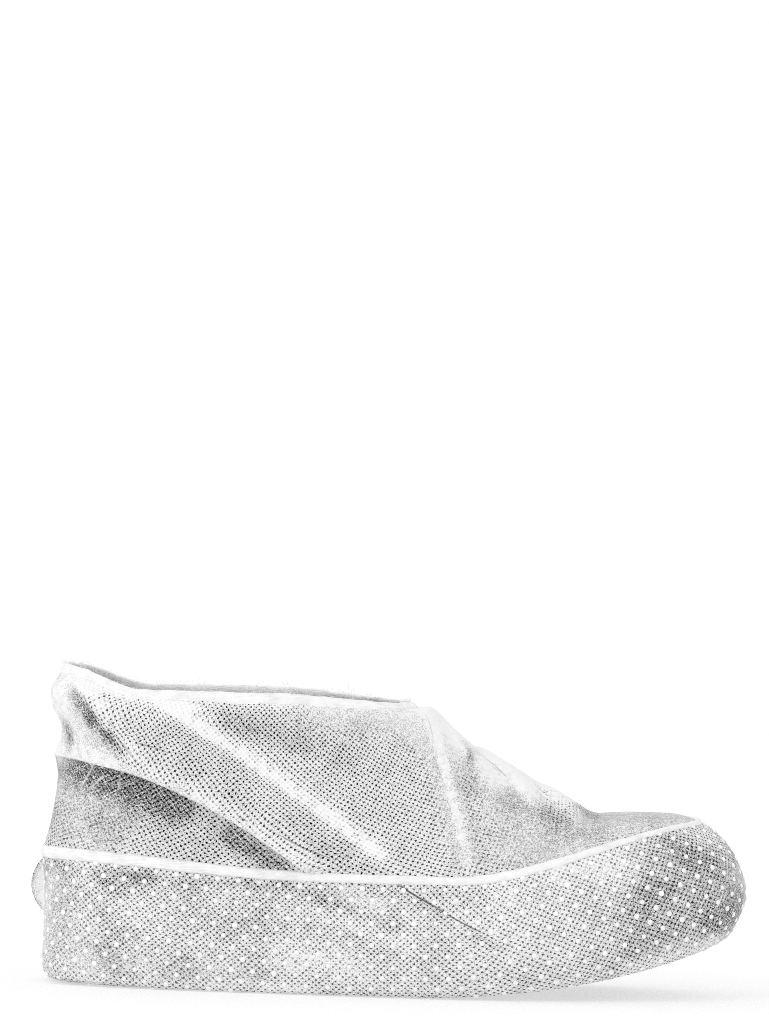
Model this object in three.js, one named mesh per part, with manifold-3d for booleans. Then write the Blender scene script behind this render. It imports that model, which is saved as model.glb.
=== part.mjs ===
// Anti-slip overshoe of thin nonwoven cloth, in the shape that it has when it is worn.
// Units are millimetres, +Z is up, +X points to the toe and the near side faces -Y.
// The origin is on the floor, under the middle of the cover.
//
// The form is one bag. Its levels are closed loops round the foot, listed from the tread to the
// ankle edge, and a meridian joins the same place on every level. The bag is cut along the welt:
// the dotted panel is below it and the plain upper is above it.

import * as THREE from "three";
import { LoftGeometry } from "three/addons/geometries/LoftGeometry.js";
import { mergeVertices } from "three/addons/utils/BufferGeometryUtils.js";
import Module from "manifold-3d";

const wasm = await Module();
wasm.setup();

// Driving dimensions

const HEEL_X = -147; // back of the heel wall
const TOE_X = 152; // tip of the toe
const CLOTH = 1.2; // wall of the cloth pieces
const GAP = 0.3; // clearance between two sewn pieces
const WELT_HEIGHT = 3.6; // sewn seam between panel and upper
const WELT_DEPTH = 2.6;
const HEM_HEIGHT = 5.2; // rolled hem that holds the elastic
const HEM_DEPTH = 3.0;
const SPRING_START_X = 5; // the tread lifts off the floor from here to the toe
const SPRING_RISE = 28;
const SPRING_POWER = 2.2;
const FIN_THICKNESS = 2.2; // two layers of cloth pinched together at the heel

// Fineness

const COLUMNS = 80; // meridians round the foot
const PANEL_FLOOR_ROWS = 4;
const PANEL_WALL_ROWS = 6;
const UPPER_ROWS = 18;
const LOOP_STEPS = 160; // steps along one side of a level before it is spaced evenly
const WELT_SIDES = 6;
const HEM_SIDES = 8;
const FOLD_STEPS = 100; // points along one fold

// A table as records. The first row holds the names of the columns.
function table(names, ...rows) {
  return rows.map((row) => Object.fromEntries(names.map((name, place) => [name, row[place]])));
}

// Levels, one row each. back and front are where the loop crosses the centre plane.
// heel and ball are half widths. The loop's height runs from back_z over side_z to front_z.
// heel_reach is the share of its length over which the height at the heel fades out, and a
// lower square number gives squarer ends.

const LEVELS = table(
  ["name", "back", "front", "heel", "ball", "back_z", "side_z", "front_z", "heel_reach", "square"],
  ["keel", -100, 20, 0, 0, 0, 0, 0],
  ["tread", -116, 32, 27, 27, 0, 0, 0],
  ["tread_edge", -142, 141, 45, 53, 0, 0, 0],
  ["tread_corner", -146, 148, 48.5, 57, 6, 5, 5],
  ["bulge", HEEL_X, TOE_X, 49.5, 59.5, 26, 24, 44],
  ["toe_turn", HEEL_X, 146, 49.5, 59, 42, 38, 62],
  ["welt", HEEL_X, 131, 48.5, 57, 53, 47, 74.4],
  ["toe_cap", -143.5, 111, 46.5, 52, 68, 61, 77],
  ["vamp", -142, 90, 45.5, 49, 82, 75, 75.6],
  ["instep", -141.5, 62, 46, 48, 95, 89, 89.5],
  ["ankle", -141.5, 36, 47.5, 48, 108, 103, 105],
  ["blouse", -145, 15, 49, 49.5, 122, 115, 116.5, 0.3],
  ["edge", -138, 7, 48, 48, 133.5, 125.2, 121.6, 0.25, 0.8],
);
const HEEL_SQUARE = 0.54;
const TOE_SQUARE = 0.7;
const HEEL_REACH = 0.42;
const WAIST = [0.25, 0.72]; // shares of the length between which heel width becomes ball width
const TOE_RISE = [0.62, 1.03]; // shares of the length over which a level climbs to the toe

// Folds, one row each, as lines in the side view: from, bend and to are (x, z) points of a
// quadratic curve. The cloth stands out by height on the line and falls back over the
// distances above and below it.

const NEAR = -1;
const FAR = 1;
const FOLD_COLUMNS = ["name", "side", "from", "bend", "to", "height", "above", "below"];
const UPPER_FOLDS = table(
  FOLD_COLUMNS,
  ["heel_drape", NEAR, [-137, 96], [-95, 93], [-36, 44], 7.5, 24, 7],
  ["ankle_drape", NEAR, [-106, 125], [-45, 91], [16, 48], 5, 15, 13],
  ["heel_pouch", NEAR, [-137, 123], [-131, 106], [-118, 92], 3.5, 6, 9],
  ["heel_tuck", NEAR, [-126, 126], [-118, 110], [-99, 90], 4, 14, 6],
  ["instep_turn", NEAR, [11, 121], [22, 98], [35, 48], 3.5, 9, 8],
  ["instep_pleat_high", NEAR, [20, 114], [36, 96], [45, 80], 2.8, 6, 6],
  ["instep_pleat_low", NEAR, [38, 102], [56, 90], [68, 80], 2.2, 6, 6],
  ["heel_drape_far", FAR, [-137, 96], [-90, 92], [-22, 44], 6.5, 22, 8],
  ["ankle_drape_far", FAR, [-84, 124], [-40, 94], [24, 50], 4.5, 14, 12],
  ["instep_turn_far", FAR, [11, 121], [26, 98], [42, 48], 3.5, 9, 8],
  ["instep_pleat_far", FAR, [34, 104], [52, 90], [66, 78], 2.2, 7, 7],
);
const PANEL_FOLDS = table(
  FOLD_COLUMNS,
  ["side_tuck", NEAR, [0, 50], [24, 34], [48, 18], 1.8, 14, 4],
  ["waist_fold", NEAR, [-52, 46], [-18, 30], [14, 12], 1.6, 12, 10],
  ["heel_fold", NEAR, [-132, 48], [-112, 34], [-84, 14], 1.5, 10, 9],
  ["side_tuck_far", FAR, [-10, 50], [18, 34], [46, 16], 1.7, 14, 5],
  ["heel_fold_far", FAR, [-124, 48], [-100, 32], [-70, 14], 1.5, 10, 9],
);
const FOLD_END = 0.12; // share of a fold's length over which its end runs out
const FOLD_CROSSING = 0.3; // share of the lower fold that adds to the higher where two cross
const EDGE_FADE = 7; // folds die away over this distance from a seam

// Finishes

const CLOTH_WHITE = { color: 0xe9eaea, roughness: 0.85, metalness: 0 };
const SEAM_WHITE = { color: 0xf4f4f3, roughness: 0.8, metalness: 0 };

// Small helpers

const lerp = THREE.MathUtils.lerp;
const smoothstep = THREE.MathUtils.smoothstep;
const range = (count) => [...Array(count).keys()];

// Height of the tread above the floor.
function spring(x) {
  const share = Math.max(0, (x - SPRING_START_X) / (TOE_X - SPRING_START_X));
  return SPRING_RISE * share ** SPRING_POWER;
}

// One level as a loop of evenly spaced points: heel, near side, toe, far side.
function loop(level) {
  const side = range(LOOP_STEPS + 1).map((step) => {
    const turn = (Math.PI * step) / LOOP_STEPS;
    const share = (1 - Math.cos(turn)) / 2;
    const square = level.square ?? lerp(HEEL_SQUARE, TOE_SQUARE, share);
    const half = lerp(level.heel, level.ball, smoothstep(share, ...WAIST)) * Math.sin(turn) ** square;
    const x = lerp(level.back, level.front, share);
    const atHeel = 1 - smoothstep(share, 0, level.heel_reach ?? HEEL_REACH);
    const atToe = smoothstep(share, ...TOE_RISE);
    const rise = (level.back_z - level.side_z) * atHeel + (level.front_z - level.side_z) * atToe;
    const tread = level.side_z < EDGE_FADE ? spring(x) : 0;
    return new THREE.Vector3(x, half * NEAR, level.side_z + rise + tread);
  });
  const curve = new THREE.CatmullRomCurve3(side);
  curve.arcLengthDivisions = LOOP_STEPS * 4;
  const near = curve.getSpacedPoints(COLUMNS / 2);
  const far = near.slice(1, -1).reverse().map((p) => new THREE.Vector3(p.x, -p.y, p.z));
  return [...near, ...far];
}

// Meridians, each with its length up to a named level.
const loops = LEVELS.map(loop);
const meridians = range(COLUMNS).map((column) => {
  const curve = new THREE.CatmullRomCurve3(loops.map((points) => points[column]));
  const spans = LEVELS.length - 1;
  const steps = 40;
  curve.arcLengthDivisions = spans * steps;
  const lengths = curve.getLengths();
  const upTo = (name) => lengths[LEVELS.findIndex((level) => level.name === name) * steps];
  return { curve, upTo, total: lengths.at(-1) };
});

// Loops between two places on the meridians, low and high being functions of a meridian.
// No point lies below the tread.
function loopsBetween(low, high, rows) {
  return range(rows + 1).map((row) =>
    meridians.map((m) => {
      const point = m.curve.getPointAt(lerp(low(m), high(m), row / rows) / m.total);
      return point.setZ(Math.max(point.z, spring(point.x)));
    }),
  );
}

// Outward normals of a grid of loops.
function normalsOf(grid) {
  return grid.map((points, row) =>
    points.map((_, column) => {
      const along = points[(column + 1) % COLUMNS].clone().sub(points[(column + COLUMNS - 1) % COLUMNS]);
      const above = grid[Math.min(row + 1, grid.length - 1)][column];
      const below = grid[Math.max(row - 1, 0)][column];
      return along.cross(above.clone().sub(below)).normalize();
    }),
  );
}

// A fold with its line drawn out as points.
function drawn(fold) {
  const ends = [fold.from, fold.bend, fold.to].map((p) => new THREE.Vector2(...p));
  const line = new THREE.QuadraticBezierCurve(...ends);
  return { ...fold, line, points: line.getPoints(FOLD_STEPS) };
}

// How far one fold lifts the cloth at a place in the side view.
function foldLift(fold, here) {
  const distances = fold.points.map((p) => p.distanceTo(here));
  const distance = Math.min(...distances);
  const step = distances.indexOf(distance);
  const share = step / FOLD_STEPS;
  const offset = here.clone().sub(fold.points[step]);
  const isAbove = fold.line.getTangent(share).cross(offset) > 0;
  const away = distance / (isAbove ? fold.above : fold.below);
  const runOut = smoothstep(Math.min(share, 1 - share), -FOLD_END / 3, FOLD_END);
  return fold.height * runOut * Math.exp(-away * away);
}

// The grid with its folds raised. They fade towards both edges, and the two sides run into each
// other across the centre plane.
function withFolds(grid, folds) {
  const normals = normalsOf(grid);
  const lines = folds.map(drawn);
  const liftOn = (side, here) =>
    lines
      .filter((fold) => fold.side === side)
      .map((fold) => foldLift(fold, here))
      .reduce((most, lift) => Math.max(most, lift) + FOLD_CROSSING * Math.min(most, lift), 0);
  return grid.map((points, row) =>
    points.map((point, column) => {
      const here = new THREE.Vector2(point.x, point.z);
      const toLow = point.distanceTo(grid[0][column]);
      const toHigh = point.distanceTo(grid.at(-1)[column]);
      const fade = smoothstep(Math.min(toLow, toHigh), 0, EDGE_FADE);
      const lift = lerp(liftOn(NEAR, here), liftOn(FAR, here), smoothstep(point.y, -EDGE_FADE, EDGE_FADE));
      return point.clone().addScaledVector(normals[row][column], lift * fade);
    }),
  );
}

// The inner face of a wall.
function innerFace(grid, levelFloor) {
  const normals = normalsOf(grid);
  if (levelFloor) normals[0] = normals[0].map(() => new THREE.Vector3(0, 0, -1));
  return grid.map((points, row) =>
    points.map((point, column) => point.clone().addScaledVector(normals[row][column], -CLOTH)),
  );
}

// A wall with an open top and a flat floor, which closes along the keel.
function tubGeometry(outer) {
  const inner = innerFace(outer, true);
  return new LoftGeometry([...outer, ...inner.reverse()]);
}

// A wall that is open at both edges.
function sleeveGeometry(outer) {
  const inner = innerFace(outer, false);
  return new LoftGeometry([...outer, ...inner.reverse(), outer[0]]);
}

// A band that runs round the foot, with an oval section, centred on low to high.
function bandGeometry(low, high, height, depth, sides) {
  const grid = loopsBetween(low, high, 2);
  const normals = normalsOf(grid)[1];
  const rings = range(sides + 1).map((corner) => {
    const angle = (2 * Math.PI * (corner % sides)) / sides;
    return grid[1].map((centre, column) => {
      const up = grid[2][column].clone().sub(grid[0][column]).normalize();
      return centre
        .clone()
        .addScaledVector(normals[column], (depth / 2) * Math.cos(angle) - CLOTH / 2)
        .addScaledVector(up, (height / 2) * Math.sin(angle));
    });
  });
  return new LoftGeometry(rings);
}

// Solids for joining two geometries.
function solidOf(geometry) {
  const bare = new THREE.BufferGeometry().setAttribute("position", geometry.getAttribute("position"));
  const merged = mergeVertices(bare.setIndex(geometry.index), 1e-3);
  return new wasm.Manifold(
    new wasm.Mesh({
      numProp: 3,
      vertProperties: merged.getAttribute("position").array,
      triVerts: new Uint32Array(merged.index.array),
    }),
  );
}

function joined(first, second) {
  const mesh = solidOf(first).add(solidOf(second)).getMesh();
  return new THREE.BufferGeometry()
    .setAttribute("position", new THREE.BufferAttribute(mesh.vertProperties, 3))
    .setIndex(new THREE.BufferAttribute(mesh.triVerts, 1));
}

// Heel fin: the panel's closing seam, a flat crescent that stands out behind the heel.
function heelFinGeometry() {
  const root = HEEL_X + CLOTH / 2;
  const outline = new THREE.Shape();
  outline.moveTo(root, 24);
  outline.bezierCurveTo(HEEL_X - 3, 28, HEEL_X - 5.4, 34, HEEL_X - 5, 39);
  outline.bezierCurveTo(HEEL_X - 4.6, 44, HEEL_X - 1.5, 47, root, 49);
  outline.closePath();
  const plate = new THREE.ExtrudeGeometry(outline, {
    depth: FIN_THICKNESS,
    bevelEnabled: false,
    curveSegments: 6,
  });
  plate.deleteAttribute("normal");
  plate.deleteAttribute("uv");
  plate.rotateX(Math.PI / 2).translate(0, FIN_THICKNESS / 2, 0);
  return mergeVertices(plate, 1e-3);
}

function piece(name, geometry, finish) {
  const mesh = new THREE.Mesh(geometry, new THREE.MeshStandardMaterial(finish));
  mesh.name = name;
  return mesh;
}

// The pieces

const weltLine = (m) => m.upTo("welt");
const underWelt = (m) => weltLine(m) - WELT_HEIGHT / 2 - GAP;
const overWelt = (m) => weltLine(m) + WELT_HEIGHT / 2 + GAP;
const underHem = (m) => m.total - HEM_HEIGHT - GAP;

const panelFloor = loopsBetween(() => 0, (m) => m.upTo("tread_edge"), PANEL_FLOOR_ROWS);
const panelWall = loopsBetween((m) => m.upTo("tread_edge"), underWelt, PANEL_WALL_ROWS);
const panelGrid = [...panelFloor, ...withFolds(panelWall, PANEL_FOLDS).slice(1)];
const upperGrid = withFolds(loopsBetween(overWelt, underHem, UPPER_ROWS), UPPER_FOLDS);

const panel = joined(tubGeometry(panelGrid), heelFinGeometry());
const upper = sleeveGeometry(upperGrid);
const welt = bandGeometry(underWelt, overWelt, WELT_HEIGHT, WELT_DEPTH, WELT_SIDES);
const hem = bandGeometry(underHem, (m) => m.total, HEM_HEIGHT, HEM_DEPTH, HEM_SIDES);

const overshoe = new THREE.Group();
overshoe.add(piece("grip_panel", panel, CLOTH_WHITE));
overshoe.add(piece("upper", upper, CLOTH_WHITE));
overshoe.add(piece("welt_seam", welt, SEAM_WHITE));
overshoe.add(piece("ankle_hem", hem, SEAM_WHITE));

export default overshoe;
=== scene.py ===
# %% [markdown]
# # An anti-slip shoe cover in Blender
# The cover is a bag of thin spunbond cloth. A boat-shaped lower panel carries white grip dots, a plain
# upper is draped above it, a narrow welt joins the two, and a rolled hem hides the elastic at the ankle.
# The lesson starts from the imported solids, which give the true size, and lays finely folded cloth over
# the same form. Lengths in the tables are millimetres, and MM turns them into Blender's metres.

# %% Load the frame
import math
import random
from collections import namedtuple

import bpy
import numpy as np
from mathutils import Matrix, Vector, kdtree, noise


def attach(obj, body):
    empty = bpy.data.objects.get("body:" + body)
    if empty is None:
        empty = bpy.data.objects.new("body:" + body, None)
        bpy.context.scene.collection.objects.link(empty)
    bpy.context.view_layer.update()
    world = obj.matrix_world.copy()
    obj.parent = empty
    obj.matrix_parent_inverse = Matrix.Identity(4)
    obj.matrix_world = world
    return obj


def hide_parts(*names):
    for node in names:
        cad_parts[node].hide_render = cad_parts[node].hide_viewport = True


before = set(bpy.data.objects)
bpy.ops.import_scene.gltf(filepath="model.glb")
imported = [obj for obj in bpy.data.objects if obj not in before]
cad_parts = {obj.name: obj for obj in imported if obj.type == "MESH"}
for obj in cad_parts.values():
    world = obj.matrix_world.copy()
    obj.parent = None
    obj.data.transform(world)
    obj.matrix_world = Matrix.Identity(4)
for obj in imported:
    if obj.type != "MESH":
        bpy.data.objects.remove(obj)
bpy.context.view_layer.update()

MM = 0.001
print("solids:", sorted(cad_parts))

# %% [markdown]
# ## The form
# The bag is described by closed loops, one for each level from the tread up to the ankle edge. A row
# of the table says where a loop crosses the centre plane, how wide it is at the heel and the ball, and
# how its height runs from the back over the side to the front. The toe springs off the floor, so the lowest
# levels rise with it. The form could also be sculpted, but a table keeps the cloth on the solids, and a
# level can be moved by a millimetre where the photo asks for it.

# %% Levels of the bag
Level = namedtuple(
    "Level",
    "name back front heel ball back_z side_z front_z heel_reach square",
    defaults=(0.42, None),
)
LEVELS = [
    Level("keel", -100, 20, 0, 0, 0, 0, 0),
    Level("tread", -116, 32, 27, 27, 0, 0, 0),
    Level("tread_edge", -143.6, 141, 45.5, 53, 1.8, 0, 0, 0.2),
    Level("tread_corner", -145.3, 148, 48.5, 57, 6.4, 5, 5, 0.2),
    Level("bulge", -145.5, 152, 49.5, 59.5, 26, 24, 44),
    Level("toe_turn", -146, 146, 49.5, 59, 42, 39, 62),
    Level("welt", -146.5, 131, 48.5, 57, 55, 49, 74.4),
    Level("toe_cap", -143.5, 111, 46.5, 52, 68, 61, 77),
    Level("vamp", -142, 90, 45.5, 49, 82, 75, 76.2),
    Level("instep", -141.5, 61, 46, 48, 95, 89, 88.6),
    Level("ankle", -141.5, 34.5, 47.5, 48, 108, 103, 102.8),
    Level("blouse", -144.5, 15, 49, 49.5, 122, 115, 116.5, 0.3),
    Level("edge", -140, 7, 48, 48, 134.5, 125.2, 121.6, 0.25, 0.8),
]
LEVEL_NAMES = [level.name for level in LEVELS]
print("levels:", LEVEL_NAMES)

# %% A loop for each level
HEEL_SQUARE, TOE_SQUARE = 0.54, 0.7
WAIST = (0.25, 0.72)
TOE_RISE = (0.62, 1.03)
SPRING_START, SPRING_END, SPRING_RISE, SPRING_POWER = 5, 152, 28, 2.2
SPRUNG_BELOW = 7
COLUMNS, LOOP_SAMPLES = 480, 4001


def smoothstep(value, low, high):
    share = np.clip((value - low) / (high - low), 0, 1)
    return share * share * (3 - 2 * share)


def mix(a, b, share):
    return a + (b - a) * share


def spring(x):
    share = np.clip((x - SPRING_START) / (SPRING_END - SPRING_START), 0, None)
    return SPRING_RISE * share**SPRING_POWER


def run_along(points):
    """Length of a line of points from its start up to each of them."""
    steps = np.linalg.norm(np.diff(points, axis=0), axis=-1)
    return np.concatenate([np.zeros_like(steps[:1]), np.cumsum(steps, axis=0)])


def read_off(at, known, values):
    """Rows of values that are known at some places, read off at others."""
    return np.stack([np.interp(at, known, column) for column in values.T], axis=-1)


def loop(level):
    """Evenly spaced points round one level: heel, near side, toe, far side."""
    turn = np.linspace(0, math.pi, LOOP_SAMPLES)
    share = (1 - np.cos(turn)) / 2
    square = level.square or mix(HEEL_SQUARE, TOE_SQUARE, share)
    half = mix(level.heel, level.ball, smoothstep(share, *WAIST)) * np.sin(turn).clip(0) ** square
    x = mix(level.back, level.front, share)
    z = level.side_z + (level.back_z - level.side_z) * (1 - smoothstep(share, 0, level.heel_reach))
    z = z + (level.front_z - level.side_z) * smoothstep(share, *TOE_RISE)
    z = z + (spring(x) if level.side_z < SPRUNG_BELOW else 0)
    side = np.stack([x, -half, z], axis=1)
    run = run_along(side)
    near = read_off(np.linspace(0, run[-1], COLUMNS // 2 + 1), run, side)
    return np.vstack([near, near[-2:0:-1] * (1, -1, 1)])


loops = np.array([loop(level) for level in LEVELS])
print("loops:", loops.shape)

# %% [markdown]
# ## Meridians
# A meridian joins the same place on every level with a smooth centripetal curve, as a pattern cutter's
# spline does. Walking along it by length gives rows of any fineness, and lets the cloth be cut exactly
# along the welt.

# %% Meridian curves
STEPS, TINY = 40, 1e-6


def unit(vectors):
    return vectors / np.linalg.norm(vectors, axis=-1, keepdims=True).clip(TINY)


def meridians(keys):
    """Points on a centripetal spline through the keys of every column."""
    before, after = 2 * keys[0] - keys[1], 2 * keys[-1] - keys[-2]
    points = np.concatenate([[before], keys, [after]])
    gaps = np.sqrt(np.linalg.norm(np.diff(points, axis=0), axis=2, keepdims=True)).clip(TINY)
    rows = []
    for k in range(len(keys) - 1):
        a, b, c, d = points[k : k + 4]
        ab, bc, cd = gaps[k : k + 3]
        leave = ((b - a) / ab - (c - a) / (ab + bc) + (c - b) / bc) * bc
        arrive = ((c - b) / bc - (d - b) / (bc + cd) + (d - c) / cd) * bc
        for w in np.arange(STEPS) / STEPS:
            bend = (3 * (c - b) - 2 * leave - arrive) * w**2 + (2 * (b - c) + leave + arrive) * w**3
            rows.append(b + leave * w + bend)
    return np.array(rows + [keys[-1]])


curves = meridians(loops)
runs = run_along(curves)
print("meridian lengths, mm:", runs[-1].min().round(), "to", runs[-1].max().round())


# %% Cloth between two lengths
def up_to(name):
    """Length of each meridian up to a named level."""
    return runs[LEVEL_NAMES.index(name) * STEPS]


def cloth_between(low, high, shares):
    """A grid of points: one row for each share of the way from low to high."""
    grid = np.empty((len(shares), COLUMNS, 3))
    for column in range(COLUMNS):
        at = mix(low[column], high[column], np.asarray(shares))
        grid[:, column] = read_off(at, runs[:, column], curves[:, column])
    grid[..., 2] = np.maximum(grid[..., 2], spring(grid[..., 0]))
    return grid


def normals_of(grid):
    along = np.roll(grid, -1, axis=1) - np.roll(grid, 1, axis=1)
    return unit(np.cross(along, np.gradient(grid, axis=0)))


print("length up to the welt, mm:", up_to("welt").min().round(), "to", up_to("welt").max().round())

# %% [markdown]
# ## Folds
# Loose cloth hangs in folds. Each is a line in the side view, bent like a quadratic curve, on which the
# cloth stands out. It falls back on both sides, mostly more steeply below, and a heavy fold droops over
# its lower edge. A cloth simulation could find folds by itself, but not these ones in these places, so they
# are listed one by one. Along its line the cloth stands off and looks whiter: the last three numbers of a
# row are how much, and how wide that white band is below and above the line.

# %% Table of folds
NEAR, FAR = -1, 1
Fold = namedtuple(
    "Fold", "name side start bend end height above below droop bright white_below white_above",
    defaults=(3.3, 4.7),
)
UPPER_FOLDS = [
    Fold("heel_drape", NEAR, (-172, 93), (-108, 117), (-18, 40), 6.6, 20, 2.4, 3.0, 0.35, 4.5, 5.2),
    Fold("ankle_drape", NEAR, (-114, 130), (-49, 96), (6, 50), 4.0, 12, 8, 0.8, 0.48, 2.4, 4.6),
    Fold("heel_pouch", NEAR, (-142, 130), (-133, 105), (-108, 89), 3.2, 4, 9, 0.0, 0.2),
    Fold("heel_tuck", NEAR, (-133.5, 128), (-122, 113.4), (-101, 95.5), 3.4, 10, 2.0, 1.0, 0.34, 0.9, 4.4),
    Fold("instep_turn", NEAR, (10, 122), (22, 98), (36, 46), 3.5, 7, 7, 0.5, 0.34, 2, 2.6),
    Fold("pleat_high", NEAR, (16, 119), (36, 98), (44, 80), 2.0, 5, 1.8, 1.0, 0.1),
    Fold("pleat_mid", NEAR, (34, 105), (52, 94), (61, 78), 2.0, 4.5, 1.6, 1.0, 0.35),
    Fold("pleat_low", NEAR, (50, 96), (70, 87), (80, 73), 2.2, 5, 1.8, 0.8, 0.25),
    Fold("heel_drape_far", FAR, (-172, 102), (-104, 104), (-8, 44), 6.2, 20, 2.8, 2.6, 0.6),
    Fold("ankle_drape_far", FAR, (-84, 125), (-40, 94), (26, 48), 4.2, 13, 9, 0.6, 0.45),
    Fold("instep_turn_far", FAR, (11, 121), (26, 98), (42, 46), 3.5, 8, 7, 0.4, 0.4),
    Fold("pleat_far", FAR, (34, 104), (52, 90), (66, 78), 2.2, 5, 5, 0.4, 0.3),
]
PANEL_FOLDS = [
    Fold("side_tuck", NEAR, (0, 50), (24, 37.5), (52, 22), 1.9, 14, 2.2, 0.8, 0.15),
    Fold("waist_fold", NEAR, (-54, 47), (-18, 32), (16, 18), 1.6, 11, 6, 0.3, 0.15),
    Fold("heel_fold", NEAR, (-132, 48), (-112, 34), (-84, 14), 1.5, 10, 9, 0.0, 0.1),
    Fold("side_tuck_far", FAR, (-10, 50), (18, 34), (46, 16), 1.7, 14, 3.0, 0.6, 0.15),
    Fold("heel_fold_far", FAR, (-124, 48), (-100, 32), (-70, 14), 1.5, 10, 9, 0.0, 0.1),
]
print("folds:", len(UPPER_FOLDS) + len(PANEL_FOLDS))

# %% The crest of a fold
FOLD_POINTS, FOLD_END = 160, 0.12


def fold_line(fold):
    t = np.linspace(0, 1, FOLD_POINTS)[:, None]
    start, bend, end = (np.array(p, float) for p in (fold.start, fold.bend, fold.end))
    return (1 - t) ** 2 * start + 2 * t * (1 - t) * bend + t**2 * end


def crest(fold, x, z):
    """Strength on the fold, signed distance from its line and the direction down its steep side."""
    line = fold_line(fold)
    tangents = unit(np.gradient(line, axis=0))
    dx, dz = x[:, None] - line[:, 0], z[:, None] - line[:, 1]
    nearest = np.argmin(dx * dx + dz * dz, axis=1)
    pick = np.arange(len(x))
    dx, dz, tangent = dx[pick, nearest], dz[pick, nearest], tangents[nearest]
    away = np.hypot(dx, dz) * np.where(tangent[:, 0] * dz - tangent[:, 1] * dx > 0, 1, -1)
    share = nearest / (FOLD_POINTS - 1)
    run_out = smoothstep(np.minimum(share, 1 - share), 0, FOLD_END)
    width = np.where(away > 0, fold.above, fold.below)
    down = np.stack([tangent[:, 1], -tangent[:, 0]], axis=1)
    return np.exp(-((away / width) ** 2)) * run_out, away, down


print("longest fold, mm:", max(run_along(fold_line(fold))[-1] for fold in UPPER_FOLDS).round())

# %% [markdown]
# ## How tightly the cloth lies
# Thin white cloth is greyer, and its bond points darker, where it lies tight than where it stands off.
# That can't be read from the shape alone, so a second table lists soft strokes in the side view that
# tighten the cloth or slacken it. Some strokes also paint light and shade: partly painted shadow under
# the overhanging heel lip, painted shade in the heel valley and under the welt, and painted highlight on
# the instep facets with painted shade between them. A third table lists where the cloth is doubled or
# turns away, so that its bond points dissolve into fine specks. Both results are kept in the mesh as one
# number for each point. The last table uses the same strokes to press the cloth in or out by a millimetre
# or two.

# %% Table of tight and slack strokes, painted shade and painted highlight
Stroke = namedtuple("Stroke", "name start end width amount")
UPPER_STROKES = [
    # Partly painted shadow under the overhanging heel lip, partly cloth lying tight below it.
    Stroke("under_heel_drape", (-134, 91), (-92, 79), 8, 0.33),
    Stroke("under_drape_core", (-123, 91), (-90, 79), 6.5, 0.64),
    Stroke("under_drape_mid", (-90, 78), (-66, 66), 5, 0.2),
    Stroke("under_drape_tip", (-64, 63), (-44, 53), 4.5, 0.42),
    Stroke("heel_low", (-142, 72), (-60, 60), 9, 0.11),
    # Painted shade in the narrow valley beside the heel pouch.
    Stroke("heel_valley_high", (-133, 122), (-124.4, 114), 2.8, 0.42),
    Stroke("heel_valley_mid", (-124.4, 114), (-117, 107.6), 3.0, 0.42),
    Stroke("heel_valley_low", (-117, 107.6), (-111, 102.6), 2.2, 0.4),
    Stroke("heel_notch", (-138.5, 109), (-134.5, 103), 2.6, 0.38),
    Stroke("tuck_shade", (-98, 106), (-72, 90), 7, 0.12),
    Stroke("below_hem", (-70, 114), (-36, 103), 5.5, 0.22),
    Stroke("mid_ankle", (-24, 101), (-12, 90), 7, 0.12),
    Stroke("drape_foot", (-62, 84), (-10, 54), 7, 0.08),
    Stroke("toe_hollow", (70, 74), (86, 70), 6, 0.05),
    Stroke("toe_top", (88, 76), (128, 76), 5, 0.05),
    Stroke("hem_slack", (-136, 130), (10, 121), 6, -0.4),
    Stroke("heel_top_slack", (-128, 128), (-92, 121), 8, -0.25),
    Stroke("heel_edge_slack", (-143, 120), (-141, 100), 5, -0.35),
    Stroke("pouch_slack", (-139, 118), (-126, 98), 4, -0.1),
    Stroke("instep_slack", (14, 118), (62, 91), 8, -0.15),
    # Painted highlight on the lit facets of the instep, which also stand off.
    Stroke("facet_high", (18, 117), (28, 104), 6.5, -0.45),
    Stroke("facet_mid", (39, 98), (46, 91), 4, -0.5),
    Stroke("facet_low", (55, 89), (72, 82.5), 3.5, -0.3),
    # Painted shade between the instep facets and along their edges.
    Stroke("facet_shade_high", (30.3, 105), (32.8, 98.5), 2.2, 0.46),
    Stroke("facet_shade_low", (32.8, 98.5), (35, 92.3), 2.2, 0.14),
    Stroke("facet_edge", (36.4, 101), (49, 91), 1.5, 0.2),
    Stroke("vamp_shade", (56, 72), (84, 70), 10, 0.07),
    Stroke("vamp_turn", (27, 89.6), (41.7, 83), 4, 0.07),
    Stroke("vamp_high", (50.4, 83.2), (63.2, 75.8), 3.5, 0.11),
    Stroke("vamp_front", (66.6, 78.2), (73.8, 75.2), 3.5, 0.08),
    # Painted shade along the outline after the third instep facet.
    Stroke("toe_facet_shade", (77.9, 79.7), (86.2, 76.9), 2, 0.16),
]
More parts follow.
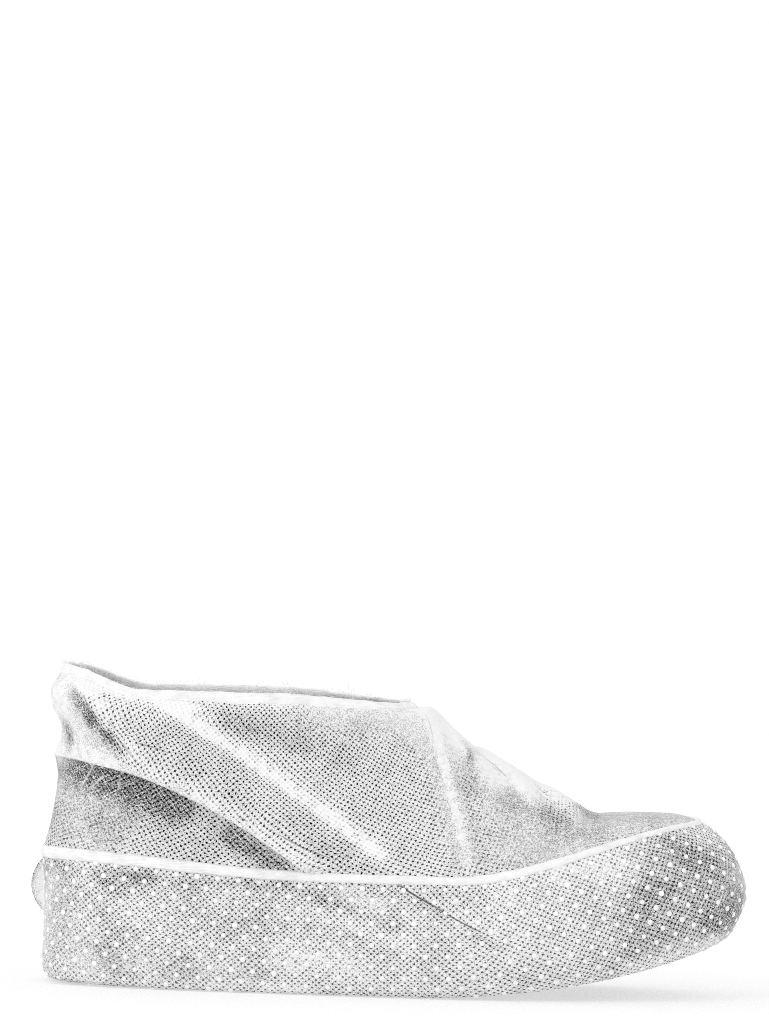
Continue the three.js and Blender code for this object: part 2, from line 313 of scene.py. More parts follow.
PANEL_STROKES = [
    # Painted shade just under the welt.
    Stroke("shade_under_welt", (-140, 48), (-40, 44), 3, 0.12),
    # Painted shade under the welt near the heel.
    Stroke("heel_welt_shadow", (-109, 47), (-101, 48), 4, 0.2),
    Stroke("low_welt_shadow", (-120, 44), (-112, 40), 3, 0.2),
    Stroke("waist_crease", (-46, 46), (4, 28), 3, 0.2),
    Stroke("waist_patch", (-19, 44), (-2, 37), 4, -0.16),
    Stroke("heel_streak", (-138, 51), (-110, 41.5), 3, 0.07),
    Stroke("tuck_crease", (12, 43), (48, 22), 3, 0.12),
    Stroke("toe_dark", (100, 38), (119, 52), 12, 0.19),
    Stroke("toe_high", (119, 66), (130, 57), 8, 0.14),
    Stroke("toe_tip", (138, 54), (144, 34), 11, 0.17),
    Stroke("toe_low", (110, 30), (138, 32), 13, 0.15),
    Stroke("waist_slack", (-44, 17), (-12, 13), 7, -0.2),
    Stroke("toe_slack", (48, 48), (92, 62), 7, -0.22),
    Stroke("toe_patch", (86, 55), (97, 57), 5, -0.2),
    Stroke("toe_under_slack", (104, 13), (142, 25), 4, -0.3),
    Stroke("front_slack", (36, 32), (84, 36), 15, -0.09),
    Stroke("heel_back_slack", (-146, 34), (-146, 4), 9, -0.14),
    Stroke("tread_edge", (-142, 1), (90, 5), 2.5, -0.15),
]
print("strokes:", len(UPPER_STROKES) + len(PANEL_STROKES))

# %% Tables of doubled cloth and dents
UPPER_BLUR = [
    Stroke("vamp_doubled", (46, 84), (74, 62), 18, 0.62),
    Stroke("vamp_low", (48, 60), (72, 56), 11, 0.45),
    Stroke("heel_tight", (-140, 84), (-116, 76), 16, 0.7),
    Stroke("heel_foot", (-144, 66), (-120, 58), 9, 0.45),
    Stroke("toe_doubled", (88, 75), (130, 76), 10, 0.85),
    Stroke("instep_doubled", (18, 118), (52, 92), 12, 0.8),
    Stroke("hem_doubled", (-30, 120), (16, 116), 13, 0.85),
    Stroke("heel_doubled", (-143, 124), (-139, 90), 8, 0.8),
    Stroke("turn_doubled", (14, 112), (31, 58), 7, 0.75),
    Stroke("valley_doubled", (-137, 122), (-119, 99), 7.5, 0.9),
    Stroke("lip_high", (-140, 98.5), (-116.6, 96), 3.2, 0.8),
    Stroke("lip_mid", (-116.6, 96), (-85.8, 85.4), 3, 0.8),
    Stroke("lip_low", (-85.8, 85.4), (-53, 66.8), 3, 0.8),
]
PANEL_BLUR = [
    Stroke("toe_front", (150, 56), (148, 36), 10, 0.8),
    Stroke("toe_under", (110, 22), (144, 24), 5, 0.5),
    Stroke("toe_wall", (60, 48), (120, 66), 9, 0.3),
    Stroke("toe_tight", (98, 44), (130, 48), 15, 0.25),
    Stroke("heel_back", (-147, 44), (-147, 8), 13, 0.65),
    Stroke("heel_side", (-134, 38), (-126, 14), 15, 0.35),
    Stroke("heel_low", (-126, 10), (-58, 8), 7, 0.45),
    Stroke("waist_low", (-44, 15), (-16, 13), 7, 0.5),
    Stroke("waist_doubled", (-19, 44), (-2, 37), 4.5, 0.6),
]
DENTS = [
    Stroke("heel_hollow", (-150, 108), (-136, 107), 6, -2.4),
    Stroke("heel_waist", (-150, 84), (-138, 82), 8, -0.4),
    Stroke("lip_end", (-150, 97), (-138, 96), 4.5, 1.0),
    Stroke("toe_hollow", (74, 73), (84, 70), 6, -1.0),
]


def painted(strokes, x, z):
    """Sum of soft strokes. Each gives its amount on its line and fades to nothing over its width."""
    total = np.zeros(len(x))
    for stroke in strokes:
        a, b = np.array(stroke.start, float), np.array(stroke.end, float)
        ab = b - a
        share = (((x - a[0]) * ab[0] + (z - a[1]) * ab[1]) / (ab @ ab)).clip(0, 1)
        distance = np.hypot(x - a[0] - share * ab[0], z - a[1] - share * ab[1])
        total += stroke.amount * np.exp(-((distance / stroke.width) ** 2))
    return total


print("doubled places:", len(UPPER_BLUR) + len(PANEL_BLUR), "dents:", len(DENTS))

# %% [markdown]
# ## Draping
# Draping moves every point of a smooth grid: outwards by the folds that cross it, down the steep side
# of a drooping fold, and a little in and out by a crumple noise. The folds fade out at both seams, so
# that the edges stay where they are joined. Over the instep the strokes wander on their way to the far
# side, because a stroke from the side view would otherwise run straight across it.

# %% Lay the folds
FOLD_CROSSING, SIDE_BLEND = 0.3, 7.0
DROOP_AT, DROOP_SPREAD, WHITE_EDGE = 1.5, 6, 3
HEEL_HOLD, HEEL_BACK = 0.2, (-143, -121)


def lay_folds(folds, x, y, z):
    """How far the folds lift each point, how it slides down their steep sides, and how white it is."""
    lift, slide, white = np.zeros(len(x)), np.zeros((len(x), 3)), np.zeros(len(x))
    far_share = smoothstep(y, -SIDE_BLEND, SIDE_BLEND)
    for side, share in ((NEAR, 1 - far_share), (FAR, far_share)):
        raised = np.zeros(len(x))
        for fold in (f for f in folds if f.side == side):
            strength, away, down = crest(fold, x, z)
            height = fold.height * strength
            raised = np.maximum(raised, height) + FOLD_CROSSING * np.minimum(raised, height)
            pull = fold.droop * strength * np.exp(-(((away - DROOP_AT) / DROOP_SPREAD) ** 2)) * share
            slide[:, ::2] += down * pull[:, None]
            reach = np.where(away > 0, fold.white_above, fold.white_below)
            white += fold.bright * strength * np.exp(-(np.abs(away / reach) ** WHITE_EDGE)) * share
        lift += raised * share * mix(HEEL_HOLD, 1, smoothstep(x, *HEEL_BACK))
    return lift, slide, white


Crumple = namedtuple("Crumple", "height shift size stretch tilt")
CRUMPLES = (Crumple(0.55, 0, 15, 2.6, -36), Crumple(0.25, 50, 6, 2.2, 30))


def crumple(points, form):
    """Noise with soft ridges, drawn out along a tilted direction in the side view."""
    c, s = math.cos(math.radians(form.tilt)), math.sin(math.radians(form.tilt))
    values = np.empty(len(points))
    for k, (x, y, z) in enumerate(points + form.shift):
        along, across = (x * c + z * s) / (form.size * form.stretch), (-x * s + z * c) / form.size
        values[k] = noise.noise(Vector((along, y / form.size / 2, across)))
    return form.height * values


print("crumples, mm high:", [form.height for form in CRUMPLES])

# %% Drape a grid
EDGE_FADE = 5.5
TOP_DRIFT, DRIFT_SIZE, DRIFT_FROM = 26, 22, (-24, 12)
DRIFTS = [Crumple(TOP_DRIFT, shift, DRIFT_SIZE, 1, 0) for shift in (0, 90)]


def drape(grid, folds, strokes, blurs, rest):
    """The folded grid, how tightly the cloth lies at each point with painted shade and highlight added, and
    how clearly its bonds show.
    """
    flat, out = grid.reshape(-1, 3), normals_of(grid).reshape(-1, 3)
    x, y, z = flat.T
    lift, slide, white = lay_folds(folds, x, y, z)
    lift += painted(DENTS, x, z) + sum(crumple(flat, form) for form in CRUMPLES)
    slide -= out * np.sum(slide * out, axis=1, keepdims=True)
    to_edge = np.minimum(*(np.linalg.norm(grid - edge, axis=2) for edge in (grid[:1], grid[-1:])))
    fade = smoothstep(to_edge, 0, EDGE_FADE).reshape(-1, 1)
    moved = flat + (out * lift[:, None] + slide) * fade
    drift = out[:, 2].clip(0, 1) ** 2 * smoothstep(y, *DRIFT_FROM)
    drift_x, drift_z = (at + drift * crumple(flat, form) for at, form in zip((x, z), DRIFTS))
    tight = rest - white + painted(strokes, drift_x, drift_z)
    clear = (1 - painted(blurs, drift_x, drift_z)).clip(0, 1)
    return moved.reshape(grid.shape), tight.reshape(grid.shape[:2]), clear.reshape(grid.shape[:2])


WELT_HEIGHT, HEM_HEIGHT, TUCK_IN = 4.0, 5.4, 1.4
UPPER_REST, UPPER_ROWS = 0.52, 100
weltline = up_to("welt")
upper_low = weltline + WELT_HEIGHT / 2 - TUCK_IN
upper_high = runs[-1] - HEM_HEIGHT + TUCK_IN
upper_smooth = cloth_between(upper_low, upper_high, np.linspace(0, 1, UPPER_ROWS))
upper_grid, upper_tightness_and_shade, upper_clear = drape(
    upper_smooth, UPPER_FOLDS, UPPER_STROKES, UPPER_BLUR, UPPER_REST
)
print("upper grid:", upper_grid.shape, "tightness", upper_tightness_and_shade.min().round(2), upper_tightness_and_shade.max().round(2))

# %% [markdown]
# ## Lower panel
# The lower panel is cut like a boat: a floor for the tread, and walls that stand up to the welt. The floor
# is pulled tight and stays plain, so only the walls are draped. Both end up in one grid, because the real
# cloth turns the corner without a seam.

# %% A flat floor and draped walls
FLOOR_ROWS, WALL_ROWS, PANEL_REST = 22, 56, 0.57
edge_run = up_to("tread_edge")
panel_high = weltline - WELT_HEIGHT / 2 + TUCK_IN
floor_smooth = cloth_between(edge_run * 0, edge_run, np.linspace(0, 1, FLOOR_ROWS + 1))
wall_smooth = cloth_between(edge_run, panel_high, np.linspace(0, 1, WALL_ROWS + 1))
wall_grid, wall_tightness_and_shade, wall_clear = drape(wall_smooth, PANEL_FOLDS, PANEL_STROKES, PANEL_BLUR, PANEL_REST)
floor_even = np.ones(floor_smooth.shape[:2])
panel_grid = np.concatenate([floor_smooth, wall_grid[1:]])
panel_tightness_and_shade = np.concatenate([floor_even * PANEL_REST, wall_tightness_and_shade[1:]])
panel_clear = np.concatenate([floor_even, wall_clear[1:]])
print("panel grid:", panel_grid.shape)

# %% [markdown]
# ## Flat cloth coordinates
# The bond points and grip dots sit on a regular lattice of the flat cloth, so each piece needs UVs that
# lay it flat with little stretch, in millimetres. A coarse twin of the smooth grid, open along the heel,
# is unwrapped by Blender's Minimum Stretch method, and the result is spread over the fine grid. The wall's
# strip is then bent, because the panel is pulled up round the toe and its rows of dots turn with it.

# %% Unwrap a coarse twin
TWIN_STEP, UNWRAP_ROUNDS = 4, 40


def quads(rows, columns, wrap_rows=False, wrap_columns=False):
    """Point numbers of the quads of a grid, which may close on itself either way."""
    r = np.arange(rows if wrap_rows else rows - 1)[:, None]
    c = np.arange(columns if wrap_columns else columns - 1)
    low, high, right = r * columns, (r + 1) % rows * columns, (c + 1) % columns
    return np.stack([low + c, low + right, high + right, high + c], axis=-1).reshape(-1, 4)


def with_end(grid):
    """A ring of columns with the first one given again at its end."""
    return np.concatenate([grid, grid[:, :1]], axis=1)


def unwrapped(points, faces):
    """Blender's flat coordinates for the points of an open mesh."""
    mesh = bpy.data.meshes.new("twin")
    mesh.from_pydata(points.tolist(), [], faces.tolist())
    mesh.uv_layers.new(name="flat")
    twin = bpy.data.objects.new("twin", mesh)
    bpy.context.collection.objects.link(twin)
    bpy.ops.object.select_all(action="DESELECT")
    bpy.context.view_layer.objects.active = twin
    twin.select_set(True)
    bpy.ops.object.mode_set(mode="EDIT")
    bpy.ops.mesh.select_all(action="SELECT")
    bpy.ops.uv.unwrap(method="MINIMUM_STRETCH", fill_holes=False, iterations=UNWRAP_ROUNDS)
    bpy.ops.object.mode_set(mode="OBJECT")
    corners = np.empty(faces.size * 2, np.float32)
    mesh.uv_layers["flat"].uv.foreach_get("vector", corners)
    bpy.data.objects.remove(twin)
    bpy.data.meshes.remove(mesh)
    uv = np.empty((len(points), 2))
    uv[faces.ravel()] = corners.reshape(-1, 2)
    return uv


print("quads of one closed row:", len(quads(2, COLUMNS, wrap_columns=True)))


# %% Settle the flat cloth and spread it
def flat_cloth(grid, tilt):
    """Flat coordinates in mm for every point of the grid, with the heel column given twice."""
    rows = np.unique(np.append(np.arange(0, len(grid), TWIN_STEP), len(grid) - 1))
    columns = np.arange(0, COLUMNS + 1, TWIN_STEP)
    coarse = with_end(grid)[np.ix_(rows, columns)]
    uv = unwrapped(coarse.reshape(-1, 3), quads(len(rows), len(columns)))
    uv = uv.reshape(len(rows), len(columns), 2)
    true_run, flat_run = (np.linalg.norm(np.diff(g, axis=1), axis=2).sum() for g in (coarse, uv))
    return spread(settle(uv * (true_run / flat_run), coarse, tilt), rows, columns, len(grid))


def settle(uv, coarse, tilt):
    """Turns the flat cloth so that its first axis runs along X, less tilt, on the near side."""
    quarter = slice(len(uv[0]) // 8, 3 * len(uv[0]) // 8)
    along, rise = (np.diff(g, axis=1)[:, quarter].mean(axis=(0, 1)) for g in (uv, coarse))
    up = (uv[-1] - uv[0])[quarter].mean(axis=0)
    if along[0] * up[1] < along[1] * up[0]:
        uv, along = uv * (1, -1), along * (1, -1)
    turn = math.atan2(rise[2], rise[0]) - math.atan2(along[1], along[0]) - math.radians(tilt)
    c, s = math.cos(turn), math.sin(turn)
    return uv @ np.array([[c, s], [-s, c]])


def spread(uv, rows, columns, row_count):
    """Coarse flat coordinates spread over every row and column of the fine grid."""
    wide = [read_off(np.arange(COLUMNS + 1), columns, row) for row in uv]
    full = [read_off(np.arange(row_count), rows, column) for column in np.swapaxes(wide, 0, 1)]
    return np.swapaxes(full, 0, 1)


UPPER_TILT, WALL_TILT = 5, 1
upper_flat = flat_cloth(upper_smooth, UPPER_TILT)
wall_straight = flat_cloth(wall_smooth, WALL_TILT)
print("upper laid flat, mm:", np.ptp(upper_flat, axis=(0, 1)).round())

# %% Bend the wall strip round the toe
BEND_STEPS, BEND_DEGREES, BEND_FROM = 3000, -17, (15, 80)


def bent(flat, start, end, degrees):
    """The flat strip turned gradually between two lengths, as the panel is pulled up round the toe."""
    u, v = flat[..., 0], flat[..., 1] - flat[..., 1].mean()
    steps = np.linspace(u.min(), u.max(), BEND_STEPS)
    angles = math.radians(degrees) * smoothstep(steps, start, end)
    pace = steps[1] - steps[0]
    line_x = steps[0] + np.cumsum(np.cos(angles)) * pace
    line_y = np.cumsum(np.sin(angles)) * pace
    angle = np.interp(u, steps, angles)
    x = np.interp(u, steps, line_x) - v * np.sin(angle)
    y = np.interp(u, steps, line_y) + v * np.cos(angle)
    return np.stack([x, y], axis=-1)


middle = WALL_ROWS // 2
near_half = wall_smooth[middle, : COLUMNS // 2, 0]
toe_turn = [wall_straight[middle, int(np.searchsorted(near_half, x)), 0] for x in BEND_FROM]
wall_flat = bent(wall_straight, *toe_turn, BEND_DEGREES)
floor_flat = with_end(floor_smooth)[..., :2]
print("wall laid flat, mm:", np.ptp(wall_flat, axis=(0, 1)).round())

# %% [markdown]
# ## Cloth meshes
# Each grid becomes a closed band of quads with its flat coordinates, its tightness, which also carries
# painted shade and highlight, and its clearness.
# A weld closes the line along the tread where both halves of the floor meet, and Solidify makes the cloth
# half a millimetre thick, inwards, so that the outside stays where it was laid.

# %% Build the cloth pieces
CLOTH_THICKNESS, KEEL_GAP = 0.5, 0.01


def make_piece(name, points, faces, corners=None, smooth=True, **layers):
    """An object from points in mm, with flat coordinates for its corners and layers of point values."""
    mesh = bpy.data.meshes.new(name)
    mesh.from_pydata((np.asarray(points) * MM).tolist(), [], faces)
    if corners is not None:
        mesh.uv_layers.new(name="cloth").uv.foreach_set("vector", np.ravel(corners).astype(np.float32))
    for label, values in layers.items():
        layer = mesh.attributes.new(label, "FLOAT", "POINT")
        layer.data.foreach_set("value", np.ravel(values).astype(np.float32))
    if smooth:
        mesh.shade_smooth()
    piece = bpy.data.objects.new(name, mesh)
    bpy.context.collection.objects.link(piece)
    print(name, "has", len(points), "points and", len(faces), "faces")
    return piece


def quad_corners(flat):
    """Flat coordinates of the four corners of every quad of a grid."""
    return np.stack([flat[:-1, :-1], flat[:-1, 1:], flat[1:, 1:], flat[1:, :-1]], axis=2).reshape(-1, 2)


def cloth_piece(name, grid, tight, clear, flats):
    """A ring of cloth. flats lists the flat coordinates of the parts of the grid, from its foot up."""
    faces = quads(len(grid), COLUMNS, wrap_columns=True).tolist()
    corners = np.concatenate([quad_corners(flat) for flat in flats])
    piece = make_piece(name, grid.reshape(-1, 3), faces, corners, tight=tight, clear=clear)
    piece.modifiers.new("closed keel", "WELD").merge_threshold = KEEL_GAP * MM
    solid = piece.modifiers.new("cloth thickness", "SOLIDIFY")
    solid.thickness, solid.offset = CLOTH_THICKNESS * MM, -1
    solid.use_even_offset = False
    return piece


upper = cloth_piece("upper_cloth", upper_grid, upper_tightness_and_shade, upper_clear, [upper_flat])
panel = cloth_piece("grip_panel_cloth", panel_grid, panel_tightness_and_shade, panel_clear, [floor_flat, wall_flat])

# %% [markdown]
# ## Welt
# The two cloths are welded face to face and the narrow seam is turned flat, so it reads as a smooth white
# cord between them. A band is swept round the meridians' own normals, with a soft section and a little
# pucker, because a weld is never quite even. Over the toe the seam is pulled thin, so the band is slimmer.

# %% Swept bands
BAND_STEP, SECTION_NOISE = 2, 0.16
FINE_PUCKER, FINE_SHARE = 2.7, 0.5
LIFT_PUCKER, LIFT_SHARE, LIFT_SHIFT = 1.4, 0.8, Vector((31, 7, 3))


def stirred(spot, push, lift, pucker):
    """A corner of a band's section, moved by its pucker at a place in the noise."""
    push += pucker * (noise.noise(spot) + FINE_SHARE * noise.noise(spot * FINE_PUCKER))
    lift += pucker * LIFT_SHARE * noise.noise(spot * LIFT_PUCKER + LIFT_SHIFT)
    return push, lift


def band_piece(name, centre, out, up, section, pucker, spacing):
    """A closed band. The section lists (outward, upward) corners, and pucker stirs them, all in mm."""
    grid = np.empty((len(section), len(centre), 3))
    for k, here in enumerate((centre / spacing).tolist()):
        for s, (push, lift) in enumerate(section):
            spot = Vector(here) + Vector((push, lift, push - lift)) * SECTION_NOISE
            push, lift = stirred(spot, push, lift, pucker)
            grid[s, k] = centre[k] + out[k] * push + up[k] * lift
    around = run_along(np.vstack([centre, centre[:1]]))
    flat = np.stack(np.meshgrid(around, run_along(np.array(section + section[:1]))), axis=-1)
    faces = quads(len(section), len(centre), True, True).tolist()
    return make_piece(name, grid.reshape(-1, 3), faces, quad_corners(flat))


def finer(points, times):
    """Closed loop of points with straight steps cut into equal shares."""
    ahead = np.roll(points, -1, axis=0)
    shares = np.arange(times) / times
    return (points[:, None] + (ahead - points)[:, None] * shares[None, :, None]).reshape(-1, 3)


def band_frame(low, high):
    """Centre line of the cloth strip between two lengths, with its outward and upward directions."""
    strip = cloth_between(low, high, (0, 0.5, 1))
    lines = strip[1], normals_of(strip)[1], unit(strip[2] - strip[0])
    return [finer(line, BAND_STEP) for line in lines]


print("band points:", COLUMNS * BAND_STEP)

# %% The welt
WELT_SECTION = [(0.1, -2.6), (0.75, -1.9), (1.15, -0.7), (1.15, 0.7), (0.75, 1.9), (0.1, 2.6)]
WELT_SECTION += [(-0.7, 2.1), (-1.1, 0.7), (-1.1, -0.7), (-0.7, -2.1)]
WELT_PUCKER, WELT_SPACING = 0.34, 4.5
TOE_SLIM, SLIM_FROM = 0.62, (30, 125)
centre, out, up = band_frame(weltline - WELT_HEIGHT / 2, weltline + WELT_HEIGHT / 2)
slim = mix(1.0, TOE_SLIM, smoothstep(centre[:, 0], *SLIM_FROM))[:, None]
welt = band_piece("welt_band", centre, out, up * slim, WELT_SECTION, WELT_PUCKER, WELT_SPACING)

# %% [markdown]
# ## Ankle hem
# At the ankle the cloth is turned in over a thin elastic, which gathers it into a soft uneven roll. It is
# the same sweep, with a section that lies flush with the cloth at its foot and a livelier gather.

# %% The rolled hem
HEM_SECTION = [(-0.3, -3.2), (0.1, -1.8), (0.35, 0.0), (0.4, 1.4), (0.1, 2.4), (-0.5, 2.8)]
HEM_SECTION += [(-1.2, 2.3), (-1.5, 1.0), (-1.5, -1.0), (-1.0, -2.6)]
HEM_PUCKER, HEM_SPACING = 0.4, 8
centre, out, up = band_frame(runs[-1] - HEM_HEIGHT, runs[-1])
hem = band_piece("ankle_hem_roll", centre, out, up, HEM_SECTION, HEM_PUCKER, HEM_SPACING)

# %% [markdown]
# ## Loose fibres
# The cut edge inside the roll sheds filaments, which stand up as curls of a few millimetres. Hair would do,
# but thin three-sided tubes joined in one mesh keep their form in any other program.

# %% Fibres on the hem
FIBRES, FIBRE_POINTS, FIBRE_SIDES, FIBRE_RADIUS, FIBRE_TIP = 620, 9, 3, 0.05, 0.4
FIBRE_LENGTH, LONGER_BY, LONGER_SHARE, TUFT_SIZE = (1.2, 3.2), (1, 5), 0.3, 9
ROOT_HEIGHT, ROOT_DEPTH = (0.3, 0.47), (-1, 0.9)
LEAN_ALONG, LEAN_OUT = (-1.3, 1.3), (-0.5, 0.4)
CURL_TURN, CURL_DRIFT = 0.45, 0.18
random.seed(11)


def spokes(across, other, count):
    """Directions round a ring that lies in the plane of two others."""
    turns = 2 * math.pi * np.arange(count)[:, None] / count
    return np.cos(turns) * across + np.sin(turns) * other


def fibre():
    """Points of one curled tube at a random place on the hem, ring by ring."""
    k = random.randrange(len(centre))
    tuft = 0.5 + 0.5 * noise.noise(Vector((centre[k] / TUFT_SIZE).tolist()))
    length = random.uniform(*FIBRE_LENGTH)
    length += random.uniform(*LONGER_BY) if random.random() < LONGER_SHARE * tuft else 0
    root = up[k] * HEM_HEIGHT * random.uniform(*ROOT_HEIGHT) + out[k] * random.uniform(*ROOT_DEPTH)
    point = centre[k] + root
    heading = up[k] + np.cross(up[k], out[k]) * random.uniform(*LEAN_ALONG)
    heading = heading + out[k] * random.uniform(*LEAN_OUT)
    curl = np.array([random.uniform(-1, 1) for _ in range(3)])
    rings = []
    for share in np.linspace(0, 1, FIBRE_POINTS):
        heading = unit(heading)
        across = unit(np.cross(heading, curl))
        thin = FIBRE_RADIUS * mix(1, FIBRE_TIP, share)
        rings.append(point + thin * spokes(across, np.cross(heading, across), FIBRE_SIDES))
        point = point + heading * length / (FIBRE_POINTS - 1)
        heading = heading + CURL_TURN * np.cross(heading, curl) + CURL_DRIFT * curl
    return np.vstack(rings)


def copies(faces, count, size):
    """Faces of many copies of one small shape whose points follow each other."""
    return [[corner + k * size for corner in face] for k in range(count) for face in faces]


tube_size = FIBRE_POINTS * FIBRE_SIDES
tube = quads(FIBRE_POINTS, FIBRE_SIDES, wrap_columns=True).tolist()
tube += [[2, 1, 0], [tube_size - 3, tube_size - 2, tube_size - 1]]
fibre_points = np.vstack([fibre() for _ in range(FIBRES)])
fibres = make_piece("hem_fibres", fibre_points, copies(tube, FIBRES, tube_size), smooth=False)

# %% [markdown]
# ## Heel seam fin
# Behind the heel the panel's two edges meet and are welded, and the spare edge stands out as a small fin.
# It is a thin crescent, cut from two curves and waved a little so that it reads as cloth. Its cut edge is
# greyer than the rest, which is two smooth layers without bond points.

# %% The heel fin
FIN_LOW, FIN_HIGH, FIN_REACH, FIN_THICKNESS = 28.5, 52.0, 6.0, 0.9
FIN_ROOT, FIN_LEAST, FIN_ROUND, FIN_THINNING = 0.9, 0.3, 0.7, 0.6
FIN_WAVE, FIN_TURN, FIN_START, FIN_EDGE_GREY = 0.7, 3.1, 0.5, 0.85
FIN_ROWS, FIN_COLUMNS = 28, 8
rise, away = (np.arange(count + 1) / count for count in (FIN_ROWS, FIN_COLUMNS))
rise, away = np.meshgrid(rise, away, indexing="ij")
reach = FIN_REACH * np.sin(math.pi * rise).clip(0) ** FIN_ROUND + FIN_LEAST
x = LEVELS[LEVEL_NAMES.index("bulge")].back + FIN_ROOT - (reach + FIN_ROOT) * away
wave = FIN_WAVE * np.sin(FIN_TURN * rise + FIN_START) * away
half = FIN_THICKNESS / 2 * (1 - FIN_THINNING * away**2)
z = mix(FIN_LOW, FIN_HIGH, rise)
fin_sides = [np.stack([x, wave + side * half, z], axis=-1) for side in (-1, 1)]
fin_points = np.concatenate(fin_sides).reshape(-1, 3)
number = np.arange(x.size).reshape(x.shape)
rim = np.concatenate([number[0, :-1], number[:-1, -1], number[-1, :0:-1], number[:0:-1, 0]])
ahead = np.roll(rim, -1)
sheet = quads(*x.shape)
edge_faces = np.stack([rim, ahead, x.size + ahead, x.size + rim], axis=1)
fin_faces = np.concatenate([sheet[:, [0, 3, 2, 1]], sheet + x.size, edge_faces])
fin_grey = FIN_EDGE_GREY * np.tile(away.ravel(), 2) ** 3
fin = make_piece(
    "heel_seam_fin", fin_points, fin_faces.tolist(), fin_points[fin_faces.ravel()][:, [0, 2]],
    tight=fin_grey, clear=fin_grey * 0,
)

# %% [markdown]
# ## Grip dots
# The panel is printed with drops of white rubber in a staggered lattice. Each is a low dome of its own,
# because the drops catch the light and break the outline. The lattice is regular on the flat cloth, so a
# dot's place is looked up in the flat coordinates and carried to the folded grid by the local slope.

# %% Find the dots' places
DOT_REPEAT = (8.9, 9.3)
WALL_MARGIN, FLOOR_MARGIN = 1.6, 3.2


def lattice(low, high, repeat):
    """Points of a staggered lattice inside a rectangle."""
    points = []
    for j in range(math.floor(low[1] / repeat[1] * 2), math.ceil(high[1] / repeat[1] * 2) + 1):
        for i in range(math.floor(low[0] / repeat[0]), math.ceil(high[0] / repeat[0]) + 1):
            points.append(((i + 0.5 * (j % 2)) * repeat[0], j * repeat[1] / 2))
    return points


def dot_places(grid, flat, margin):
    """Places and normals on a folded grid for the dots that lie on its flat coordinates."""
    rows, columns = flat.shape[:2]
    tree = kdtree.KDTree(rows * columns)
    for index, (u, v) in enumerate(flat.reshape(-1, 2)):
        tree.insert((u, v, 0), index)
    tree.balance()
    closed, normals = with_end(grid), with_end(normals_of(grid))
    du, dv = np.gradient(flat, axis=1), np.gradient(flat, axis=0)
    found = []
    for u, v in lattice(flat.min((0, 1)), flat.max((0, 1)), DOT_REPEAT):
        _, index, distance = tree.find((u, v, 0))
        r, c = divmod(index, columns)
        if distance > margin or r < 1 or r > rows - 2:
            continue
        slope = np.stack([du[r, c], dv[r, c]], axis=1)
        step = np.linalg.solve(slope, np.array([u, v]) - flat[r, c]).clip(-1, 1)
        at_c, at_r = min(max(c + step[0], 0), columns - 1), min(max(r + step[1], 0), rows - 1)
        c0, r0 = min(int(at_c), columns - 2), min(int(at_r), rows - 2)
        low, high = (mix(closed[row, c0], closed[row, c0 + 1], at_c - c0) for row in (r0, r0 + 1))
        found.append((mix(low, high, at_r - r0), normals[r, c]))
    return found


wall_dots = dot_places(wall_grid, wall_flat, WALL_MARGIN)
floor_dots = dot_places(floor_smooth[1:], floor_flat[1:], FLOOR_MARGIN)
print("grip dots:", len(wall_dots), "on the wall,", len(floor_dots), "on the tread")

# %% Build the dots
DOT_RADIUS, DOT_HEIGHT, DOT_SIDES, DOT_SPREAD = 1.2, 0.55, 10, (0.88, 1.1)
DOT_RINGS = ((1.0, -0.15), (0.86, 0.5), (0.5, 0.9))
DOT_TURN = (0.31, 0.2, 0.93)
random.seed(5)


def dome(place, normal):
    """Points of one dot: its rings from the foot up, and its top."""
    across = unit(np.cross(normal, DOT_TURN))
    size = DOT_RADIUS * random.uniform(*DOT_SPREAD)
    ring = spokes(across, np.cross(normal, across), DOT_SIDES) * size
    rings = [place + ring * reach + normal * DOT_HEIGHT * rise for reach, rise in DOT_RINGS]
    return np.vstack([*rings, place + normal * DOT_HEIGHT])


dot_points = np.vstack([dome(*dot) for dot in wall_dots + floor_dots])
top = len(DOT_RINGS) * DOT_SIDES
last_ring = list(range(top - DOT_SIDES, top))
dome_faces = quads(len(DOT_RINGS), DOT_SIDES, wrap_columns=True).tolist()
dome_faces += [[a, b, top] for a, b in zip(last_ring, last_ring[1:] + last_ring[:1])]
dome_faces.append(list(range(DOT_SIDES))[::-1])
dots = make_piece("grip_dots", dot_points, copies(dome_faces, len(dot_points) // (top + 1), top + 1))

# %% [markdown]
# ## Writing shaders as sums
# A shader is easier to read as arithmetic than as a picture of wires. This class wraps one output socket:
# plus, minus and times add Math nodes, also with a number on the left, and every other node comes from one
# method that takes the node's kind, its settings and its sockets.

